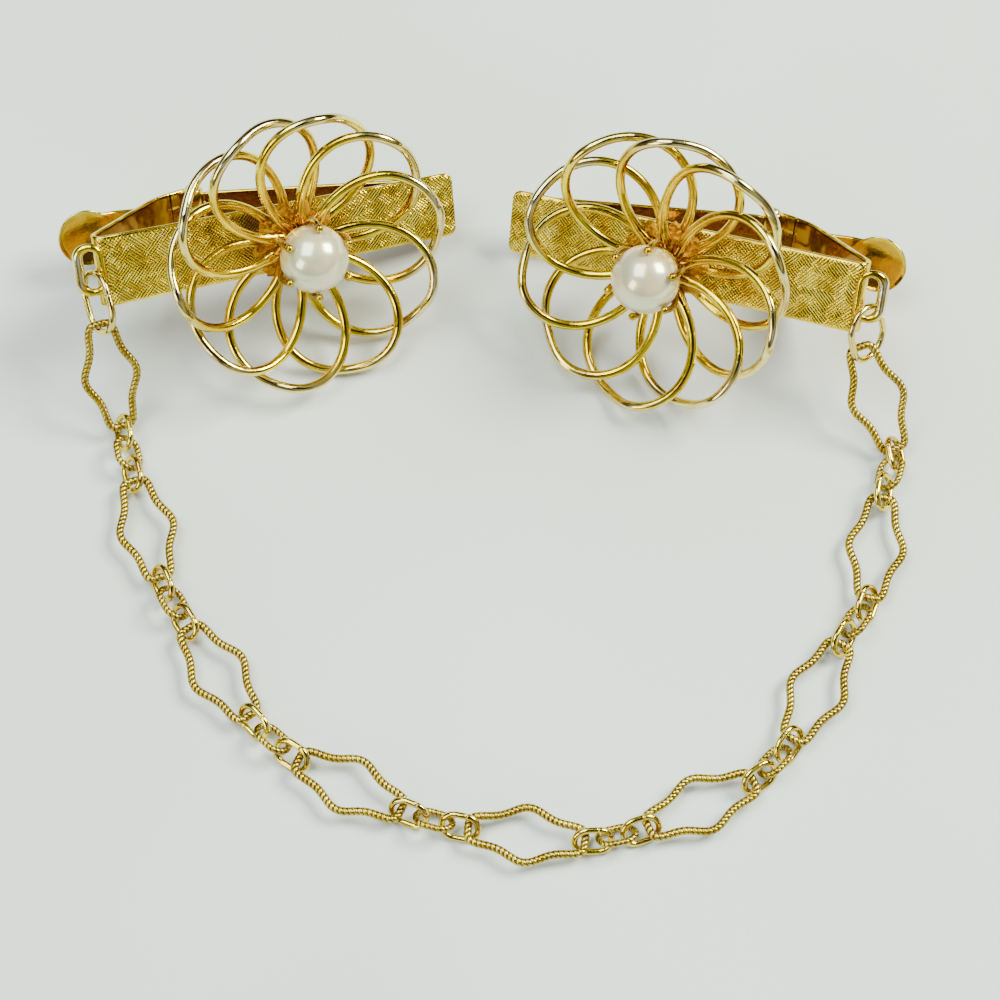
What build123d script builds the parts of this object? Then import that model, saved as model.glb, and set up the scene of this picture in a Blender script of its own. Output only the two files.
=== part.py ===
from build123d import *
import math
import os

# Sweater clip: two spring clips, each with a wire flower and a pearl, joined by a chain.
# Millimetres, +Z up, lying on the plane z = 0. The origin is under the middle of the bounding box.

# Shift from the frame in which the chain was laid out to the middle of the bounding box
centre_x = -1.965
centre_y = -1.976

# More than the depth of a clip, for cutting outlines
deep = 24.0

# Band of a clip: one strip, engraved front plate, fold at the chain end, sloping rear arm
band_thickness = 0.5
band_half_width = 3.75
band_tip_half_width = 3.45
band_front = -2.3
fold_x = -19.3
tip_x = 18.5
tip_corner = 0.8
fold_radius = 0.9
arm_heading = -43.0
arm_straight = 9.7
arm_bend_radius = 8.0
tail_heading = -17.0
tail_straight = 2.4
knuckle_radius = 1.05
bore_radius = 0.55
knuckle_slot_half = 1.8
knuckle_slot_reach = 2.3

# Lever: spoon shaped thumb paddle and jaw in one strip, turning on the pin
lever_thickness = 0.6
lever_standoff = 1.5
lever_neck_half = 2.1
lever_neck_flare = 0.4
jaw_half_width = 2.9
jaw_tip_half_width = 2.6
jaw_knee = (17.3, -4.1)
jaw_lip_x = 18.2
jaw_clearance = 0.12
paddle_heading = 4.9
paddle_radius = 3.05
paddle_middle = 11.7
paddle_edge = 1.0
spoon_inner_radius = 8.5
spoon_outer_radius = 10.5
lever_ear_inner = 0.95
lever_ear_outer = 1.65
lever_ear_foot = 1.4
neck_flare = 4.0
neck_behind = 2.0

# Pivot pin and torsion spring
pin_radius = 0.5
pin_head_radius = 0.75
pin_head_thickness = 0.3
pin_head_gap = 0.08
coil_radius = 1.02
coil_bore = 0.62
coil_half_width = 0.75
spring_wire = 0.34
arm_leg_heading = 158.0
arm_leg = 5.0
jaw_leg = 7.0

# Eyelet of thick wire soldered to the fold, nearer to the edge that is uppermost as the clip lies
eyelet_wire = 0.75
eyelet_bend_radius = 1.12
eyelet_half_straight = 1.3
eyelet_shift = 0.35
eyelet_tilt = 20.0
eyelet_seat = (-19.95, -2.42)

# Flower: ten looped wires soldered round a hub
petal_count = 10
petal_wire = 0.98
petal_reach = 14.4
petal_root = 1.2
petal_half_width = 6.15
petal_fullness = 0.194
petal_root_cut = 1.5
bowl_height = 4.4
bowl_power = 1.7
strand_lift = 1.4
strand_ease = 2.5
petal_sides = 6
petal_steps = 28
hub_radius = 2.6
hub_half_height = 1.3
hub_collar_radius = 1.9
hub_gap = 0.1
post_hole_radius = 0.65

# Pearl and its six prong setting, riveted through the hub and the plate
pearl_radius = 3.5
pearl_height = 5.96
pearl_gap = 0.12
cup_base = 1.4
cup_base_radius = 2.15
cup_rim = 3.36
cup_rim_radius = 2.8
rivet_gap = 0.06
post_radius = 0.55
rivet_radius = 1.1
rivet_thickness = 0.5
prong_wire = 0.66
prong_count = 6
prong_turn = 24.0
prong_low = -56.0
prong_high = 20.0
prong_bead = 0.46

# Chain: wavy links of twisted wire, three small oval rings between each two, a jump ring at each end
link_wire = 0.8
link_length = 11.3
link_end_half = 1.5
link_middle_extra = 1.3
link_wave_power = 6.0
link_squareness = 5.0
link_sides = 6
link_steps = 40
link_height = 1.4
ring_wire = 0.65
ring_bend_radius = 1.3
ring_half_straight = 0.5
ring_rolls = (56.0, -40.0, 50.0)
ring_lifts = (0.0, 0.25, 0.0)
ring_offset_share = 0.122
jump_wire = 0.7
jump_bend_radius = 2.3
jump_half_straight = 0.8
path_samples = 480

# Middle (x, y) and heading in degrees of the seven wavy links that lie flat
flat_links = [
    (-35.94, -3.86, -72.9),
    (-27.90, -19.43, -55.3),
    (-14.61, -31.15, -27.0),
    (2.55, -36.19, -6.7),
    (19.47, -33.15, 24.1),
    (31.33, -21.44, 62.3),
    (38.15, -5.95, 79.4),
]

# Upper and lower end of the two wavy links that hang from the jump rings
left_link_ends = ((-40.88, 15.18, 9.80), (-39.18, 7.81, 1.4))
right_link_ends = ((36.93, 13.71, 7.55), (40.80, 5.25, 1.4))
end_link_rolls = {"left": -13.1, "right": -11.8}

# Jump rings: middle, direction of the long axis and direction of the short axis
jump_places = {
    "left": ((-40.98, 17.27, 10.63), (0.266, -0.858, -0.439), (0.592, -0.214, 0.777)),
    "right": ((37.52, 14.63, 9.00), (0.255, -0.315, -0.914), (-0.686, -0.725, 0.059)),
}

# Where each clip lies: hub position, yaw, pitch and lean in degrees, and the turn of its flower
clip_places = {
    "left": dict(hub=(-21.11, 24.86, 9.88), yaw=6.3, pitch=17.6, lean=50.1, turned=False, petal_turn=2.0),
    "right": dict(hub=(17.09, 22.32, 9.90), yaw=-7.9, pitch=17.75, lean=49.7, turned=True, petal_turn=11.0),
}


def along(angle, length):
    """Step of a length at an angle in the profile plane, as (x, z)."""
    return length * math.cos(math.radians(angle)), length * math.sin(math.radians(angle))


def profile_strip(start, heading, steps, thickness):
    """Face of a bent strip in the plane y = 0.

    steps holds ("line", length) and ("arc", radius, turn), a positive turn bends to the left.
    Returns the face, the end point of the middle line and its heading.
    """
    x, z = start
    half = thickness / 2
    left, right = [], []

    def side(px, pz, angle, amount):
        dx, dz = along(angle + 90, amount)
        return Vector(px + dx, 0, pz + dz)

    first = side(x, z, heading, half), side(x, z, heading, -half)
    for step in steps:
        before = side(x, z, heading, half), side(x, z, heading, -half)
        if step[0] == "line":
            dx, dz = along(heading, step[1])
            x, z = x + dx, z + dz
            left.append(Edge.make_line(before[0], side(x, z, heading, half)))
            right.append(Edge.make_line(before[1], side(x, z, heading, -half)))
        else:
            radius, turn = step[1], step[2]
            bend = math.copysign(1, turn)
            cx, cz = x + along(heading + 90, radius * bend)[0], z + along(heading + 90, radius * bend)[1]
            middle_heading, end_heading = heading + turn / 2, heading + turn
            points = []
            for angle in (middle_heading, end_heading):
                dx, dz = along(angle - 90, radius * bend)
                points.append((cx + dx, cz + dz, angle))
            mid, end = points
            left.append(Edge.make_three_point_arc(before[0], side(*mid, half), side(*end, half)))
            right.append(Edge.make_three_point_arc(before[1], side(*mid, -half), side(*end, -half)))
            x, z, heading = end
    last = side(x, z, heading, half), side(x, z, heading, -half)
    caps = [Edge.make_line(first[0], first[1]), Edge.make_line(last[0], last[1])]
    return Face(Wire(left + right + caps)), (x, z), heading


def across(face, half_width):
    """The face in the plane y = 0, thickened to both sides."""
    return extrude(face, amount=half_width, dir=(0, 1, 0), both=True)


def cross_cylinder(x, z, radius, half_width):
    """Cylinder along y about the point (x, z)."""
    return Pos(x, 0, z) * Rot(90, 0, 0) * Cylinder(radius, 2 * half_width)


def even_points(curve, start, end, count, closed):
    """Points spaced evenly by length along a curve given as a function of one number."""
    dense = [Vector(*curve(start + (end - start) * i / path_samples)) for i in range(path_samples + 1)]
    travelled = [0.0]
    for a, b in zip(dense, dense[1:]):
        travelled.append(travelled[-1] + (b - a).length)
    points, j = [], 0
    for i in range(count if closed else count + 1):
        target = travelled[-1] * i / count
        while j < path_samples - 1 and travelled[j + 1] < target:
            j += 1
        share = (target - travelled[j]) / (travelled[j + 1] - travelled[j])
        points.append(dense[j] + (dense[j + 1] - dense[j]) * share)
    return points


def wire_tube(points, radius, sides, closed):
    """Solid of a wire with a polygonal section, mitred at each point, so that its faces are flat."""
    count = len(points)
    steps = [(points[(i + 1) % count] - points[i]).normalized() for i in range(count if closed else count - 1)]
    size = radius / math.sqrt(math.cos(math.pi / sides))
    forward = steps[0]
    helper = Vector(0, 0, 1) if abs(forward.Z) < 0.9 else Vector(1, 0, 0)
    u = forward.cross(helper).normalized()
    v = forward.cross(u)
    section = []
    for k in range(sides):
        angle = 2 * math.pi * (k + 0.5) / sides
        section.append(points[0] + u * (size * math.cos(angle)) + v * (size * math.sin(angle)))

    def slide(corners, step, point, normal):
        return [c + step * ((point - c).dot(normal) / step.dot(normal)) for c in corners]

    if closed:
        section = slide(section, steps[0], points[0], steps[-1] + steps[0])
    rings = [section]
    for i in range(1, count):
        normal = steps[i - 1] + steps[i] if closed or i < count - 1 else steps[i - 1]
        rings.append(slide(rings[-1], steps[i - 1], points[i], normal))
    pairs = list(zip(rings, rings[1:]))
    faces = []
    if closed:
        pairs.append((rings[-1], rings[0]))
    else:
        faces.append(Face(Wire.make_polygon(rings[0], close=True)))
        faces.append(Face(Wire.make_polygon(rings[-1], close=True)))
    for near, far in pairs:
        for k in range(sides):
            after = (k + 1) % sides
            corners = [near[k], near[after], far[after], far[k]]
            faces.append(Face(Wire.make_polygon(corners, close=True)))
    return Solid(Shell(faces))


def oval_ring(bend_radius, half_straight, wire):
    """Ring of round wire in the plane z = 0, long along x: two half circles and two straights."""
    right = Edge.make_three_point_arc(
        (half_straight, bend_radius, 0), (half_straight + bend_radius, 0, 0), (half_straight, -bend_radius, 0))
    bottom = Edge.make_line((half_straight, -bend_radius, 0), (-half_straight, -bend_radius, 0))
    left = Edge.make_three_point_arc(
        (-half_straight, -bend_radius, 0), (-half_straight - bend_radius, 0, 0), (-half_straight, bend_radius, 0))
    section = Plane(origin=(0, bend_radius, 0), z_dir=(1, 0, 0)) * Circle(wire / 2)
    path = Wire([
        Edge.make_line((0, bend_radius, 0), (half_straight, bend_radius, 0)), right, bottom, left,
        Edge.make_line((-half_straight, bend_radius, 0), (0, bend_radius, 0))])
    return sweep(section, path=path)


def make_band(upper):
    """Front plate, fold, rear arm with its two knuckles, and the eyelet soldered to the fold.

    upper is 1 or -1, the side of y on which the eyelet reaches further.
    """
    top = band_front - band_thickness / 2
    steps = [
        ("line", tip_x - fold_x),
        ("arc", fold_radius, 180 + arm_heading),
        ("line", arm_straight),
        ("arc", arm_bend_radius, tail_heading - arm_heading),
        ("line", tail_straight),
    ]
    strip, tail, heading = profile_strip((tip_x, top), 180, steps, band_thickness)
    dx, dz = along(heading + 90, knuckle_radius - band_thickness / 2)
    pivot = (tail[0] + dx, tail[1] + dz)
    band = across(strip, band_half_width) + cross_cylinder(*pivot, knuckle_radius, band_half_width)
    outline = make_polygon_face([
        (tip_x, -band_tip_half_width), (tip_x, band_tip_half_width),
        (fold_x, band_half_width), (fold_x - 3 * fold_radius, band_half_width),
        (fold_x - 3 * fold_radius, -band_half_width), (fold_x, -band_half_width)])
    corners = outline.vertices().sort_by(Axis.X)[-2:]
    outline = outline.fillet_2d(tip_corner, corners)
    band = band & extrude(Pos(0, 0, -deep) * outline, amount=deep)
    band -= cross_cylinder(*pivot, bore_radius, 2 * band_half_width)
    slot_length = knuckle_slot_reach + 2 * knuckle_radius
    slot_middle = pivot[0] + knuckle_radius - knuckle_slot_reach / 2
    band -= Pos(slot_middle, 0, pivot[1]) * Box(slot_length, 2 * knuckle_slot_half, 4 * knuckle_radius)
    band -= Pos(0, 0, top) * Cylinder(post_hole_radius, 4 * band_thickness)
    ring = Rot(0, 0, 90) * oval_ring(eyelet_bend_radius, eyelet_half_straight, eyelet_wire)
    ring = Rot(0, -eyelet_tilt, 0) * Pos(-eyelet_bend_radius, 0, 0) * ring
    return band + Pos(eyelet_seat[0], upper * eyelet_shift, eyelet_seat[1]) * ring, pivot


def make_polygon_face(corners):
    """Flat face in the plane z = 0 from its corners."""
    return Face(Wire.make_polygon([Vector(x, y, 0) for x, y in corners], close=True))


def lever_points(pivot):
    """Tangent point and heading of the jaw, and of the paddle, about the pivot."""
    reach = math.hypot(jaw_knee[0] - pivot[0], jaw_knee[1] - pivot[1])
    jaw_heading = math.degrees(math.atan2(jaw_knee[1] - pivot[1], jaw_knee[0] - pivot[0]))
    jaw_heading += math.degrees(math.asin(lever_standoff / reach))
    dx, dz = along(paddle_heading - 90, lever_standoff)
    return (pivot[0] + dx, pivot[1] + dz), jaw_heading, math.sqrt(reach ** 2 - lever_standoff ** 2)


def make_lever(pivot):
    """Spoon paddle, neck, two ears on the pin and the jaw, one strip."""
    tangent, jaw_heading, jaw_length = lever_points(pivot)
    back_x, back_z = along(paddle_heading + 180, paddle_middle)
    start = (tangent[0] + back_x, tangent[1] + back_z)
    lip_rise = band_front - band_thickness - jaw_clearance - lever_thickness / 2 - jaw_knee[1]
    lip_heading = math.degrees(math.atan2(lip_rise, jaw_lip_x - jaw_knee[0]))
    lip_length = math.hypot(lip_rise, jaw_lip_x - jaw_knee[0])
    steps = [
        ("line", paddle_middle),
        ("arc", lever_standoff, jaw_heading - paddle_heading),
        ("line", jaw_length),
    ]
    strip, knee, heading = profile_strip(start, paddle_heading, steps, lever_thickness)
    lip, _, _ = profile_strip(knee, lip_heading, [("line", lip_length)], lever_thickness)
    shape = across(strip, jaw_half_width) + across(lip, jaw_half_width)
    neck_end = pivot[0] - neck_behind
    edge = [
        (start[0], lever_neck_half + lever_neck_flare), (neck_end - neck_flare, lever_neck_half),
        (neck_end, lever_neck_half), (neck_end + neck_flare, jaw_half_width),
        (jaw_lip_x + lever_thickness, jaw_tip_half_width)]
    outline = make_polygon_face([(x, -y) for x, y in edge] + edge[::-1])
    shape = shape & extrude(Pos(0, 0, -deep) * outline, amount=deep)
    ceiling = band_front - band_thickness - jaw_clearance
    shape -= Pos(jaw_lip_x, 0, ceiling + lever_thickness) * Box(6, 4 * jaw_half_width, 2 * lever_thickness)

    spoon = Cylinder(paddle_radius, 2 * paddle_edge)
    spoon = spoon & Pos(0, 0, spoon_outer_radius - paddle_edge) * Sphere(spoon_outer_radius)
    spoon = spoon & Pos(0, 0, -paddle_edge / 2) * Cylinder(paddle_radius, paddle_edge)
    hollow_depth = spoon_inner_radius - math.sqrt(spoon_inner_radius ** 2 - (paddle_radius - 0.25) ** 2)
    hollow = Pos(0, 0, spoon_inner_radius - hollow_depth) * Sphere(spoon_inner_radius)
    spoon = spoon - hollow
    rise = paddle_edge - lever_thickness / 2
    neck_plane = Pos(start[0], 0, start[1]) * Rot(0, -paddle_heading, 0)
    shape = shape - neck_plane * Pos(0, 0, rise) * hollow
    shape += neck_plane * Pos(0, 0, rise) * spoon

    ears = []
    for side in (-1, 1):
        middle = side * (lever_ear_inner + lever_ear_outer) / 2
        width = lever_ear_outer - lever_ear_inner
        ear = Pos(pivot[0], middle, pivot[1]) * Rot(90, 0, 0) * Cylinder(knuckle_radius, width)
        depth = lever_standoff
        ear += Pos(pivot[0], middle, pivot[1] - depth / 2) * Box(lever_ear_foot, width, depth)
        ears.append(ear)
    return shape + ears[0] + ears[1] - cross_cylinder(*pivot, bore_radius, 1.1 * lever_ear_outer)


def make_pin(pivot):
    """Pivot pin with a flat head on each end."""
    head_middle = band_half_width + pin_head_gap + pin_head_thickness / 2
    pin = cross_cylinder(*pivot, pin_radius, head_middle + pin_head_thickness / 2)
    for side in (-1, 1):
        head = Rot(90, 0, 0) * Cylinder(pin_head_radius, pin_head_thickness)
        pin += Pos(pivot[0], side * head_middle, pivot[1]) * head
    return pin


def rod(start, end, radius):
    """Straight round bar between two points."""
    direction = Vector(*end) - Vector(*start)
    return Solid.make_cylinder(radius, direction.length, Plane(origin=start, z_dir=direction))


def make_spring(pivot):
    """Coil round the pin with one leg on the rear arm and one on the jaw."""
    coil = cross_cylinder(*pivot, coil_radius, coil_half_width)
    _, jaw_heading, _ = lever_points(pivot)
    wire_middle = (coil_radius + coil_bore) / 2
    side = coil_half_width - spring_wire
    for heading, length, y in ((arm_leg_heading, arm_leg, -side), (jaw_heading, jaw_leg, side)):
        dx, dz = along(heading - 90, wire_middle)
        leg_x, leg_z = along(heading, length)
        start = (pivot[0] + dx, y, pivot[1] + dz)
        coil += rod(start, (start[0] + leg_x, y, start[2] + leg_z), spring_wire / 2)
    return coil - cross_cylinder(*pivot, coil_bore, 2 * coil_half_width)


def widest_petal():
    """Largest value of the sine times the narrowing at the hub, by which the half width is scaled."""
    half = math.atan(1 / math.sqrt(1 + 2 * petal_fullness))
    return 2 * math.sin(half) * math.cos(half) ** (1 + 2 * petal_fullness)


def petal_curve(angle):
    """Middle line of one petal, the loop that points along x.

    angle runs from the clockwise strand at the hub over 0 at the tip to the other strand.
    The reach follows a cosine, the half width a sine drawn in at the hub. The height is a
    bowl in the distance from the axis, and each strand is lifted or lowered by its side.
    """
    opening = (1 + math.cos(angle)) / 2
    out = petal_root + (petal_reach - petal_root) * opening
    side = petal_half_width * math.sin(angle) * opening ** petal_fullness / widest_petal()
    height = bowl_height * (out / petal_reach) ** bowl_power
    height += strand_lift * side / math.hypot(side, strand_ease)
    return out, side, height


def make_flower(turn):
    """Ten petals of wire in a shallow bowl, each over the next one clockwise, round the hub."""
    root_share = (petal_root_cut - petal_root) / (petal_reach - petal_root)
    last_angle = math.acos(2 * root_share - 1)
    points = even_points(petal_curve, -last_angle, last_angle, petal_steps, closed=False)
    petal = wire_tube(points, petal_wire / 2, petal_sides, closed=False)
    hub = Cylinder(hub_radius, 2 * hub_half_height)
    collar_depth = -hub_half_height - (band_front + hub_gap)
    hub += Pos(0, 0, -hub_half_height - collar_depth / 2) * Cylinder(hub_collar_radius, collar_depth)
    flower = hub.fuse(*[Rot(0, 0, turn + 360 * i / petal_count) * petal for i in range(petal_count)])
    return flower - Cylinder(post_hole_radius, 6)


def make_setting():
    """Cup under the pearl, six round prongs with beaded tips, and a rivet through hub and plate."""
    seat = pearl_radius + pearl_gap
    setting = revolve(Plane.XZ * make_polygon_face([
        (0, cup_base), (cup_base_radius, cup_base), (cup_rim_radius, cup_rim), (0, cup_rim)]), axis=Axis.Z)
    setting -= Pos(0, 0, pearl_height) * Sphere(seat)
    back = band_front - band_thickness - rivet_gap
    setting += Pos(0, 0, (cup_base + back) / 2) * Cylinder(post_radius, cup_base - back)
    setting += Pos(0, 0, back - rivet_thickness / 2) * Cylinder(rivet_radius, rivet_thickness)

    def on_arc(angle, reach):
        return Vector(
            reach * math.cos(math.radians(angle)), 0, pearl_height + reach * math.sin(math.radians(angle)))

    reach = seat + prong_wire / 2
    low, high = on_arc(prong_low, reach), on_arc(prong_high, reach)
    arc = Edge.make_three_point_arc(low, on_arc((prong_low + prong_high) / 2, reach), high)
    section = Plane(origin=low, z_dir=arc.tangent_at(0)) * Circle(prong_wire / 2)
    prong = sweep(section, path=arc) + Pos(on_arc(prong_high, seat + prong_bead)) * Sphere(prong_bead)
    for i in range(prong_count):
        setting += Rot(0, 0, prong_turn + 360 * i / prong_count) * prong
    return setting


def link_curve(angle):
    """Middle line of a wavy link, long along x: a square ended oval, wider in the middle."""
    cosine, sine = math.cos(angle), math.sin(angle)
    power = 2 / link_squareness
    x = link_length / 2 * math.copysign(abs(cosine) ** power, cosine)
    wave = math.cos(math.pi * x / link_length) ** link_wave_power if abs(x) < link_length / 2 else 0
    width = link_end_half + link_middle_extra * wave
    return x, width * math.copysign(abs(sine) ** power, sine), 0


def clip_plane(hub, yaw, pitch, lean, turned):
    """Plane of a clip: turned on the table, leaned towards the front, tipped towards its jaw."""
    place = Rot(0, 0, yaw) * Rot(lean, 0, 0) * Rot(0, 0, 180 if turned else 0) * Rot(0, pitch, 0)
    return Pos(hub[0] - centre_x, hub[1] - centre_y, hub[2]) * place


def lying(start, end, roll):
    """Placement with x from start to end and the face rolled about that line, flat at 0."""
    direction = (end - start).normalized()
    level = Vector(0, 0, 1).cross(direction).normalized()
    normal = direction.cross(level)
    middle = (start + end) * 0.5
    return Plane(origin=middle, x_dir=direction, z_dir=normal).location * Rot(roll, 0, 0)


def level(direction):
    """Unit vector of the horizontal part of a direction."""
    return Vector(direction.X, direction.Y, 0).normalized()


def chain_ends():
    """Start and end of each of the nine wavy links, from the left clip to the right one."""
    ends = [left_link_ends]
    for x, y, heading in flat_links:
        dx, dy = along(heading, link_length / 2)
        ends.append(((x - dx, y - dy, link_height), (x + dx, y + dy, link_height)))
    ends.append(right_link_ends[::-1])
    shift = Vector(centre_x, centre_y, 0)
    return [(Vector(*a) - shift, Vector(*b) - shift) for a, b in ends]


def make_chain():
    """Wavy links, the three rings between each two, and the jump rings, by node name."""
    pieces = {}
    link = wire_tube(
        even_points(link_curve, 0, 2 * math.pi, link_steps, closed=True), link_wire / 2, link_sides, closed=True)
    ring = oval_ring(ring_bend_radius, ring_half_straight, ring_wire)
    ends = chain_ends()
    rolls = [end_link_rolls["left"], *[0.0] * len(flat_links), end_link_rolls["right"]]
    for i, ((start, end), roll) in enumerate(zip(ends, rolls)):
        pieces[f"wavy_link_{i + 1}"] = lying(start, end, roll) * link

    headings = [level(end - start) for start, end in ends]
    for i in range(len(ends) - 1):
        start, end = ends[i][1], ends[i + 1][0]
        chord = level(end - start)
        first, last = (headings[i] + chord).normalized(), (chord + headings[i + 1]).normalized()
        reach = ring_offset_share * (end - start).length
        middles = [start + first * reach, (start + first * reach + end - last * reach) * 0.5, end - last * reach]
        for j, (middle, heading, roll) in enumerate(zip(middles, (first, chord, last), ring_rolls)):
            height = ring_bend_radius * abs(math.sin(math.radians(roll))) + ring_wire / 2 + ring_lifts[j]
            middle = Vector(middle.X, middle.Y, height)
            pieces[f"ring_{i + 1}_{j + 1}"] = lying(middle - heading, middle + heading, roll) * ring

    jump_ring = oval_ring(jump_bend_radius, jump_half_straight, jump_wire)
    for side, (middle, long_axis, short_axis) in jump_places.items():
        origin = Vector(*middle) - Vector(centre_x, centre_y, 0)
        place = Plane(origin=origin, x_dir=long_axis, z_dir=Vector(*long_axis).cross(Vector(*short_axis)))
        pieces[f"{side}_jump_ring"] = place.location * jump_ring
    return pieces


def write_parts():
    os.makedirs("parts", exist_ok=True)
    pieces = make_chain()
    for side, place in clip_places.items():
        where = clip_plane(place["hub"], place["yaw"], place["pitch"], place["lean"], place["turned"])
        band, pivot = make_band(-1 if place["turned"] else 1)
        clip = {
            "band": band,
            "lever": make_lever(pivot),
            "pivot_pin": make_pin(pivot),
            "spring": make_spring(pivot),
            "flower": make_flower(place["petal_turn"]),
            "pearl_setting": make_setting(),
            "pearl": Pos(0, 0, pearl_height) * Sphere(pearl_radius),
        }
        for name, shape in clip.items():
            pieces[f"{side}_{name}"] = where * shape
    for name, shape in pieces.items():
        export_step(shape, f"parts/{name}.step")
    return pieces


write_parts()
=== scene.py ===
import math

import bpy
import numpy as np
from bpy.props import FloatProperty, FloatVectorProperty, IntProperty, PointerProperty
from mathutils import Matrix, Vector


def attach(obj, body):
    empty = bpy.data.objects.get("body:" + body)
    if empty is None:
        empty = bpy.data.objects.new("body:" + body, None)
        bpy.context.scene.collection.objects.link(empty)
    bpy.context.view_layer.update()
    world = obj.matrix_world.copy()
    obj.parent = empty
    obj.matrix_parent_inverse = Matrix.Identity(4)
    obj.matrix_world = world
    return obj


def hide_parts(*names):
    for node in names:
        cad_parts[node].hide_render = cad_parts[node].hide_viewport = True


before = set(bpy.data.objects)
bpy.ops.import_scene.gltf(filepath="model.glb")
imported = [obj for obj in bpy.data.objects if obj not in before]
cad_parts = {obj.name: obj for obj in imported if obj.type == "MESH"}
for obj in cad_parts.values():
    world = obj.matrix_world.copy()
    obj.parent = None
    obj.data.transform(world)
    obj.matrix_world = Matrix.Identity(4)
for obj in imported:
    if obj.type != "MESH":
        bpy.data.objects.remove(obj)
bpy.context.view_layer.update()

bl_info = {
    "name": "Sweater Clip",
    "version": (1, 0, 0),
    "blender": (4, 5, 0),
    "location": "View3D > Sidebar > Sweater Clip",
    "description": "Two spring clips with wire flowers and pearls, joined by a chain",
    "category": "Object",
}

BODY = "clips_and_chain"

# Metres to millimetres, and a diameter in metres to a radius in millimetres
MM, HALF_MM = 1000, 500

# Lengths below are in millimetres. The origin is on the table under the middle of the whole.
SHIFT = np.array((1.965, 1.976, 0.0))
CLIPS = {
    "left": dict(hub=(-21.11, 24.86, 9.88), yaw=6.3, pitch=17.6, lean=50.1,
                 turned=0.0, petal_turn=2.0),
    "right": dict(hub=(17.09, 22.32, 9.90), yaw=-7.9, pitch=17.75, lean=49.7,
                  turned=180.0, petal_turn=11.0),
}
# A clip's own frame: x from the fold to the plate's tip, y across the band, z up the flower
PLATE_MIDDLE = -2.55
FOLD_X, TIP_X = -19.3, 18.5
FOLD_RADIUS = 0.9
SHEET = 0.5
PIVOT = np.array((-7.173, -12.46))
KNUCKLE, BORE = 1.05, 0.56
BAND_KNUCKLE = dict(middle=2.775, half=0.975)
LEVER_EAR = dict(middle=1.3, half=0.35)
PETAL_REACH = 14.4
PEARL_HEIGHT = 5.96

# Middle (x, y) and heading of each link that lies flat, then the ends of the two that hang
FLAT_LINKS = [
    (-35.94, -3.86, -72.9),
    (-27.90, -19.43, -55.3),
    (-14.61, -31.15, -27.0),
    (2.55, -36.19, -6.7),
    (19.47, -33.15, 24.1),
    (31.33, -21.44, 62.3),
    (38.15, -5.95, 79.4),
]
LINK_LENGTH = 11.3
LINK_HEIGHT = 1.4
LEFT_END = ((-40.88, 15.18, 9.80), (-39.18, 7.81, 1.4))
RIGHT_END = ((40.80, 5.25, 1.4), (36.93, 13.71, 7.55))
END_ROLLS = (-13.1, -11.8)
# Three rings lie in each gap: the outer two start this share of the gap from the links
RING_ROLLS = (56.0, -40.0, 50.0)
RING_LIFTS = (0.0, 0.25, 0.0)
RING_SHARE = 0.122
RING_BEND, RING_STRAIGHT = 1.3, 0.5
# Middle, long axis and short axis
JUMP_RINGS = {
    "left": ((-40.98, 17.27, 10.63), (0.266, -0.858, -0.439), (0.592, -0.214, 0.777)),
    "right": ((37.52, 14.63, 9.00), (0.255, -0.315, -0.914), (-0.686, -0.725, 0.059)),
}

# Orange brown of painted shade, put where shade falls: on the inner faces of the band and the spoon
# and on the petals' roots by the hub
SHADE_BROWN = "#A06E10"


def linear(code):
    """Linear colour of an sRGB hex code."""
    parts = np.array([int(code[i:i + 2], 16) / 255 for i in (1, 3, 5)])
    return tuple(np.where(parts <= 0.04045, parts / 12.92, ((parts + 0.055) / 1.055) ** 2.4))


def turn(axis, degrees):
    """Matrix that turns about a row axis."""
    a = math.radians(degrees)
    c, s = math.cos(a), math.sin(a)
    return np.array({
        "x": ((1, 0, 0), (0, c, -s), (0, s, c)),
        "y": ((c, 0, s), (0, 1, 0), (-s, 0, c)),
        "z": ((c, -s, 0), (s, c, 0), (0, 0, 1)),
    }[axis])


def clip_place(side):
    """Matrix and origin of a clip: yaw on the table, lean to the front, pitch to the jaw."""
    p = CLIPS[side]
    m = turn("z", p["yaw"]) @ turn("x", p["lean"]) @ turn("z", p["turned"]) @ turn("y", p["pitch"])
    return m, np.array(p["hub"]) + SHIFT


def ray(degrees):
    """Cosine and sine of an angle in degrees."""
    a = math.radians(degrees)
    return np.array((math.cos(a), math.sin(a)))


def arc(centre, radius, first, last, count):
    """Points round a circle: the centre plus the radius times the cosine and sine, in degrees."""
    a = np.radians(np.linspace(first, last, count))
    return centre + radius * np.stack([np.cos(a), np.sin(a)], -1)


def lengths(path):
    """Distance along a path to each of its points."""
    return np.r_[0, np.cumsum(np.linalg.norm(np.diff(path, axis=0), axis=1))]


def unit(v):
    """Vectors of length one."""
    return v / np.maximum(np.linalg.norm(v, axis=-1, keepdims=True), 1e-12)


def even(path, count, closed=False):
    """Points spaced evenly along a dense path, whose last point is its first where closed."""
    length = lengths(path)
    at = np.linspace(0, length[-1], count, endpoint=not closed)
    return np.stack([np.interp(at, length, path[:, k]) for k in range(path.shape[1])], -1)


def waves(p, seed, size):
    """Soft lumps from about -1 to 1: sines summed in random directions, size in millimetres."""
    rng = np.random.default_rng(seed)
    directions = unit(rng.normal(size=(7, 3))) * rng.uniform(0.7, 1.6, (7, 1)) * 2 * np.pi / size
    return np.sin(p @ directions.T + rng.uniform(0, 6.28, 7)).sum(-1) / 3.0


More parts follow.
